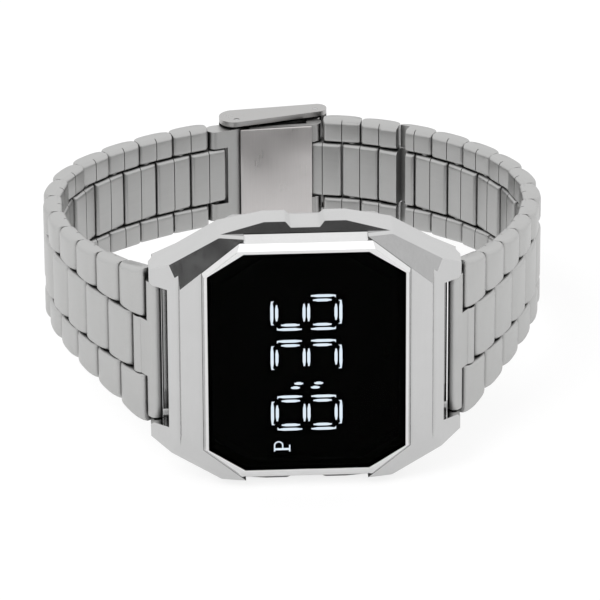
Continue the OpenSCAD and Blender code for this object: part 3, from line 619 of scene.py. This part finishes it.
def link_tree():
    """A link: two tapered side pieces, a centre piece half a pitch on, and its pin."""
    columns = column_tree()
    tree = bpy.data.node_groups.new("folded_link", "GeometryNodeTree")
    tree.interface.new_socket("Profile", in_out="INPUT", socket_type="NodeSocketGeometry")
    for label, kind in LINK_INPUTS:
        tree.interface.new_socket(label, in_out="INPUT", socket_type=kind)
    tree.interface.new_socket("Link", in_out="OUTPUT", socket_type="NodeSocketGeometry")
    given, result = put(tree, "NodeGroupInput"), put(tree, "NodeGroupOutput")
    size = given.outputs

    def column(profile, start, end):
        node = put(tree, "GeometryNodeGroup", node_tree=columns)
        feed(tree, node.inputs["Profile"], profile)
        feed(tree, node.inputs["Start"], start)
        feed(tree, node.inputs["End"], end)
        feed(tree, node.inputs["Ease"], size["Ease"])
        return node.outputs[0]

    side = column(size["Profile"], size["Side start"], size["Near half width"])
    place = put(tree, "ShaderNodeSeparateXYZ")
    feed(tree, place.inputs[0], put(tree, "GeometryNodeInputPosition").outputs[0])
    along = put(tree, "ShaderNodeMapRange")
    feed(tree, along.inputs["Value"], place.outputs["X"])
    feed(tree, along.inputs["From Min"], math_node(tree, "MULTIPLY", size["End radius"], -1.0))
    feed(
        tree, along.inputs["From Max"],
        math_node(tree, "ADD", size["Half pitch"], size["End radius"]),
    )
    feed(tree, along.inputs["To Min"], 0.0)
    feed(
        tree, along.inputs["To Max"],
        math_node(tree, "SUBTRACT", size["Far half width"], size["Near half width"]),
    )
    up_share = put(tree, "ShaderNodeMapRange")
    feed(tree, up_share.inputs["Value"], place.outputs["Z"])
    feed(tree, up_share.inputs["From Min"], size["Side start"])
    feed(tree, up_share.inputs["From Max"], size["Near half width"])
    taper = put(tree, "GeometryNodeSetPosition")
    feed(tree, taper.inputs["Geometry"], side)
    drop = math_node(tree, "MULTIPLY", along.outputs[0], up_share.outputs[0])
    feed(tree, taper.inputs["Offset"], vector_of(tree, 0.0, 0.0, drop))
    lower = put(tree, "GeometryNodeTransform")
    feed(tree, lower.inputs["Geometry"], taper.outputs[0])
    lower.inputs["Scale"].default_value = (1.0, 1.0, -1.0)
    turned = put(tree, "GeometryNodeFlipFaces")
    feed(tree, turned.inputs[0], lower.outputs[0])

    centre = put(tree, "GeometryNodeTransform")
    below = math_node(tree, "MULTIPLY", size["Centre half width"], -1.0)
    centre_outline = put(tree, "GeometryNodeObjectInfo")
    feed(tree, centre_outline.inputs["Object"], size["Centre profile"])
    feed(
        tree, centre.inputs["Geometry"],
        column(centre_outline.outputs["Geometry"], below, size["Centre half width"]),
    )
    feed(tree, centre.inputs["Translation"], vector_of(tree, size["Half pitch"]))

    pin = put(tree, "GeometryNodeMeshCylinder")
    pin.inputs["Vertices"].default_value = PIN_SIDES
    feed(tree, pin.inputs["Radius"], size["Pin radius"])
    feed(tree, pin.inputs["Depth"], math_node(tree, "MULTIPLY", size["Pin half length"], 2.0))
    pin_place = put(tree, "GeometryNodeTransform")
    feed(tree, pin_place.inputs["Geometry"], pin.outputs["Mesh"])
    pitch = math_node(tree, "MULTIPLY", size["Half pitch"], 2.0)
    feed(tree, pin_place.inputs["Translation"], vector_of(tree, pitch))

    whole = put(tree, "GeometryNodeJoinGeometry")
    for part in (taper.outputs[0], turned.outputs[0], centre.outputs[0], pin_place.outputs[0]):
        feed(tree, whole.inputs[0], part)
    store = put(
        tree, "GeometryNodeStoreNamedAttribute", data_type="FLOAT_VECTOR", domain="POINT"
    )
    store.inputs["Name"].default_value = "link_place"
    feed(tree, store.inputs["Geometry"], whole.outputs[0])
    feed(tree, store.inputs["Value"], put(tree, "GeometryNodeInputPosition").outputs[0])
    seat = put(tree, "GeometryNodeTransform")
    feed(tree, seat.inputs["Geometry"], store.outputs[0])
    feed(tree, seat.inputs["Translation"], size["Pivot"])
    feed(tree, seat.inputs["Rotation"], size["Turn"])
    real = put(tree, "GeometryNodeRealizeInstances")
    feed(tree, real.inputs[0], seat.outputs[0])
    finish = put(tree, "GeometryNodeSetMaterial")
    feed(tree, finish.inputs["Geometry"], real.outputs[0])
    feed(tree, finish.inputs["Material"], size["Steel"])
    feed(tree, result.inputs["Link"], finish.outputs[0])
    return tree


def smooth(mesh, angle=35):
    """Smooth shading with a crease wherever two faces meet at more than the angle."""
    mesh.shade_smooth()
    mesh.set_sharp_from_angle(angle=math.radians(angle))


def outline_object(name, points):
    """A closed outline in the plane z = 0."""
    mesh = bpy.data.meshes.new(name)
    edges = [(i, (i + 1) % len(points)) for i in range(len(points))]
    mesh.from_pydata([(x, y, 0.0) for x, y in points], edges, [])
    outline = bpy.data.objects.new(name, mesh)
    bpy.context.scene.collection.objects.link(outline)
    return outline


def folded_link(tree, name, profiles, values):
    """Runs the link's tree on its two profiles, and returns a plain mesh object."""
    sides, centre = (
        outline_object(f"{name}_{part}", points)
        for part, points in zip(("sides", "centre"), profiles)
    )
    modifier = sides.modifiers.new("made", "NODES")
    modifier.node_group = tree
    values = {**values, "Centre profile": centre}
    for item in tree.interface.items_tree:
        if item.item_type == "SOCKET" and item.in_out == "INPUT" and item.name in values:
            modifier[item.identifier] = values[item.name]
    shape = bpy.data.meshes.new_from_object(
        sides.evaluated_get(bpy.context.evaluated_depsgraph_get())
    )
    bpy.data.objects.remove(sides)
    bpy.data.objects.remove(centre)
    shape.name = name
    piece = bpy.data.objects.new(name, shape)
    bpy.context.scene.collection.objects.link(piece)
    return piece


def band_half(link, place):
    """Half the width of the tapered band at a place on a link."""
    along = END_LINK_LENGTH + (link - 1) * LINK_PITCH + place
    return BACK_HALF + (LUG_HALF - BACK_HALF) * math.exp((TAPER_START - along) / TAPER_LENGTH)


def pivot_of(side, k):
    """Where link k of a half turns on the link before it, or where the clasp begins."""
    return joint_at.get(f"unroll_{side}_{k}", joint_at[f"unroll_{side}_clasp"])


def add_links():
    """Every link of both halves. The 6 o'clock half has its links turned over."""
    tree = link_tree()
    for side, count in (("12", 12), ("6", 13)):
        for k in range(1, count + 1):
            node = f"link_{side}_{k}"
            here, there = pivot_of(side, k), pivot_of(side, k + 1)
            way = math.atan2(there.y - here.y, there.x - here.x)
            piece = folded_link(
                tree,
                f"{node}_folded",
                profiles_of(node),
                {
                    "Side start": SIDE_START,
                    "Near half width": band_half(k, -END_RADIUS),
                    "Far half width": band_half(k, HALF_PITCH + END_RADIUS),
                    "Centre half width": CENTRE_HALF,
                    "Half pitch": HALF_PITCH,
                    "End radius": END_RADIUS,
                    "Ease": LINK_EASE,
                    "Pin radius": PIN_RADIUS,
                    "Pin half length": SIDE_START + PIN_INTO_SIDE,
                    "Pivot": (here.x, here.y, here.z),
                    "Turn": (0.0, 0.0, way) if side == "12" else (math.pi, 0.0, way),
                    "Steel": MATERIALS["band_steel"],
                },
            )
            smooth(piece.data)
            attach(piece, body_of[node])
            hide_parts(node)


# Eased copies of rigid parts whose edges catch the light


# Edges shorter than this keep their shape
SHORTEST_EDGE = 0.3 * MM
# Faces narrower than this belong to a rounding
NARROW_FACE = 0.25 * MM
# Faces that meet at less than this are one flat face
FLAT_ANGLE = math.radians(0.6)


def width_of(face):
    """Mean width of a long face."""
    return 2 * face.calc_area() / sum(e.calc_length() for e in face.edges)


def eased(node, material, ease, sharp, faceted=False):
    """A copy of a node with its long outer edges rounded off, where they turn more than sharp.

    A faceted copy keeps plain flat shading on every face but the roundings.
    """
    mesh = nodes[node].data.copy()
    mesh.name = f"{node}_eased"
    shape = bmesh.new()
    shape.from_mesh(mesh)
    bmesh.ops.remove_doubles(shape, verts=shape.verts, dist=SAME_PLACE)
    bmesh.ops.dissolve_limit(
        shape, angle_limit=FLAT_ANGLE, verts=shape.verts, edges=shape.edges
    )
    shape.normal_update()
    edges = [
        e
        for e in shape.edges
        if len(e.link_faces) == 2
        and e.is_convex
        and e.calc_face_angle(0.0) > math.radians(sharp)
        and e.calc_length() > SHORTEST_EDGE
    ]
    bmesh.ops.bevel(
        shape, geom=edges, offset=ease, segments=2, profile=0.5, affect="EDGES",
        clamp_overlap=True,
    )
    rounded = [not faceted or width_of(face) < NARROW_FACE for face in shape.faces]
    shape.to_mesh(mesh)
    shape.free()
    if mesh.has_custom_normals:
        mesh.attributes.remove(mesh.attributes["custom_normal"])
    smooth(mesh, 40)
    mesh.polygons.foreach_set("use_smooth", rounded)
    mesh.materials.clear()
    mesh.materials.append(material)
    piece = bpy.data.objects.new(mesh.name, mesh)
    bpy.context.scene.collection.objects.link(piece)
    if not faceted:
        weights = piece.modifiers.new("flat_faces", "WEIGHTED_NORMAL")
        weights.keep_sharp = True
    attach(piece, body_of[node])
    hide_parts(node)


def add_block(name, low, high, ease, material, body, origin=None, turn=0.0):
    """An eased block from corner to corner, given in a frame at origin turned about z."""
    shape = bmesh.new()
    middle = [(a + b) / 2 for a, b in zip(low, high)]
    size = [b - a for a, b in zip(low, high)]
    bmesh.ops.create_cube(
        shape, size=1.0, matrix=Matrix.Translation(middle) @ Matrix.Diagonal((*size, 1.0))
    )
    bmesh.ops.bevel(
        shape, geom=shape.edges[:], offset=ease, segments=2, profile=0.5, affect="EDGES"
    )
    place = Matrix.Translation(origin or Vector()) @ Matrix.Rotation(turn, 4, "Z")
    bmesh.ops.transform(shape, matrix=place, verts=shape.verts)
    mesh = bpy.data.meshes.new(name)
    shape.to_mesh(mesh)
    shape.free()
    smooth(mesh)
    mesh.materials.append(material)
    piece = bpy.data.objects.new(name, mesh)
    bpy.context.scene.collection.objects.link(piece)
    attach(piece, body)


def add_clasp_skin():
    """The plain plate on the wrist side of the clasp's inner leaf."""
    start, end = joint_at["unroll_12_clasp"], joint_at["unroll_6_clasp"]
    along = end - start
    add_block(
        "clasp_inner_skin",
        (SKIN_FROM, SKIN_LOW, -LEAF_HALF),
        (along.length - SKIN_SHORT, SKIN_TOP, LEAF_HALF),
        0.1 * MM,
        MATERIALS["clasp_inner_steel"],
        "inner_leaf",
        start,
        math.atan2(along.y, along.x),
    )


def add_gap_lips():
    """A lip of the case behind each gap between the horns and the end link; the painted crevice shade of its steel
    makes it dark, as the shadow in the gap.
    """
    low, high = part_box("case_middle")
    centre = (low + high) / 2
    for side, name in ((-1, "case_lip_12"), (1, "case_lip_6")):
        near, far = sorted((centre.x + side * LIP_INNER, centre.x + side * LIP_OUTER))
        add_block(
            name,
            (near, glass_front().y + LIP_FRONT, centre.z - LIP_HALF),
            (far, glass_front().y + LIP_BACK, centre.z + LIP_HALF),
            0.05 * MM,
            MATERIALS["case_steel"],
            "case",
        )


def finish_node(node, material):
    """Gives a plain node its material."""
    mesh = nodes[node].data
    mesh.materials.clear()
    mesh.materials.append(MATERIALS[material])


# Floor and room

FLOOR_HALF = 3.0
FLOOR_CORNERS = ((-1, -1), (1, -1), (1, 1), (-1, 1))
FLOOR_DROP = 0.05 * MM
FLOOR_COLOUR = 0.8
# The floor as the camera sees it: its own colour, and the light that it gives out
FLOOR_SEEN_COLOUR = 0.25
FLOOR_SEEN_GLOW = 0.8
FLOOR_REFLECTED_GLOW = 0.2


def add_floor():
    """Pale paper that is white to the camera and keeps the watch's shadow."""
    mesh = bpy.data.meshes.new("floor")
    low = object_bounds()[0].z - FLOOR_DROP
    corners = [(FLOOR_HALF * x, FLOOR_HALF * y, low) for x, y in FLOOR_CORNERS]
    mesh.from_pydata(corners, [], [(0, 1, 2, 3)])
    floor = bpy.data.objects.new("floor", mesh)
    bpy.context.scene.collection.objects.link(floor)
    paper, seen_paper = (FLOOR_COLOUR,) * 3, (FLOOR_SEEN_COLOUR,) * 3
    material, tree, shader = new_material("floor_paper", paper, roughness=0.9)
    shader.inputs["Specular IOR Level"].default_value = 0.0
    path = put(tree, "ShaderNodeLightPath")
    seen = path.outputs["Is Camera Ray"]
    reflected = path.outputs["Is Glossy Ray"]
    feed(tree, shader.inputs["Base Color"], colour_range(tree, seen, paper, seen_paper))
    shader.inputs["Emission Color"].default_value = (1.0, 1.0, 1.0, 1.0)
    glow = math_node(
        tree, "ADD", math_node(tree, "MULTIPLY", seen, FLOOR_SEEN_GLOW),
        math_node(tree, "MULTIPLY", reflected, FLOOR_REFLECTED_GLOW),
    )
    feed(tree, shader.inputs["Emission Strength"], glow)
    mesh.materials.append(material)


# What the metal mirrors: a room that is a little darker at its foot
WALL_FOOT = 0.9
WALL_TOP = 1.05
WALL_RISE = 0.3
# Strength of the room's light on surfaces that don't mirror it
ROOM_LIGHT = 0.75
# Patches of the room: direction, degrees at the edge and where full, and the share of light left.
# In turn they show in the case's upper left slope, its notches, its upper right slope and the
# bezel's upper slope.
ROOM_PATCHES = (
    ((-0.35, -0.94, 0.03), 12, 8, 0.08),
    ((0.04, -0.43, 0.9), 10, 6, 0.08),
    ((0.43, -0.9, 0.02), 16, 10, 0.8),
    ((0.04, -0.65, 0.76), 7, 4, 1.4),
)
KEY_PLACE = (-0.5, -0.7, 0.9)
KEY_SIZE = 0.7
KEY_POWER = 6.0


def patch(tree, direction, towards, edge, full):
    """How far a direction lies inside a round patch of the room."""
    aim = Vector(towards).normalized()
    dot = put(tree, "ShaderNodeVectorMath", operation="DOT_PRODUCT")
    feed(tree, dot.inputs[0], direction)
    feed(tree, dot.inputs[1], aim)
    span = put(tree, "ShaderNodeMapRange", interpolation_type="SMOOTHSTEP")
    feed(tree, span.inputs["Value"], dot.outputs["Value"])
    feed(tree, span.inputs["From Min"], math.cos(math.radians(edge)))
    feed(tree, span.inputs["From Max"], math.cos(math.radians(full)))
    return span.outputs[0]


def add_world():
    """A white room for the metal to mirror, with its dark and bright patches."""
    world = bpy.data.worlds.new("studio")
    bpy.context.scene.world = world
    world.use_nodes = True
    tree = world.node_tree
    direction = put(tree, "ShaderNodeTexCoord").outputs["Generated"]
    height = put(tree, "ShaderNodeSeparateXYZ")
    feed(tree, height.inputs[0], direction)
    wall = put(tree, "ShaderNodeMapRange")
    feed(tree, wall.inputs["Value"], height.outputs["Z"])
    feed(tree, wall.inputs["From Min"], 0.0)
    feed(tree, wall.inputs["From Max"], WALL_RISE)
    feed(tree, wall.inputs["To Min"], WALL_FOOT)
    feed(tree, wall.inputs["To Max"], WALL_TOP)
    room = wall.outputs[0]
    for towards, edge, full, left in ROOM_PATCHES:
        share = patch(tree, direction, towards, edge, full)
        light = math_node(tree, "ADD", 1.0, math_node(tree, "MULTIPLY", share, left - 1.0))
        room = math_node(tree, "MULTIPLY", room, light)
    path = put(tree, "ShaderNodeLightPath")
    mirrored, through = path.outputs["Is Glossy Ray"], path.outputs["Is Transmission Ray"]
    seen = math_node(tree, "MAXIMUM", mirrored, through)
    strength = put(tree, "ShaderNodeMix", data_type="FLOAT")
    feed(tree, strength.inputs[0], seen)
    feed(tree, strength.inputs[2], ROOM_LIGHT)
    feed(tree, strength.inputs[3], room)
    white = put(tree, "ShaderNodeMix", data_type="FLOAT")
    feed(tree, white.inputs[0], path.outputs["Is Camera Ray"])
    tree.links.new(strength.outputs[0], white.inputs[2])
    feed(tree, white.inputs[3], 1.0)
    sky = tree.nodes["Background"]
    feed(tree, sky.inputs["Color"], (1.0, 1.0, 1.0, 1.0))
    tree.links.new(white.outputs[0], sky.inputs["Strength"])


# The scene

bpy.context.scene.view_settings.view_transform = "Standard"
add_camera()
add_links()

# Node, ease in millimetres, material, and whether its faces are plain flats
for node, ease, slot, faceted in (
    ("case_middle", 0.12, "case_steel", True),
    ("bezel", 0.06, "polished", True),
    ("case_back", 0.1, "back_steel", False),
    ("clasp_cover", 0.15, "clasp_steel", False),
):
    eased(node, MATERIALS[slot], ease * MM, sharp=12.0, faceted=faceted)

for node in ("end_link_12", "end_link_6", "clasp_link"):
    eased(node, MATERIALS["band_steel_cad"], 0.1 * MM, sharp=30.0)

add_floor()
add_world()
add_key_lamp()
add_clasp_skin()
add_gap_lips()

for entry in frame["record"]["subparts"]:
    slot = entry["material_slot"]
    finish_node(entry["node"], "band_steel_cad" if slot == "band_steel" else slot)
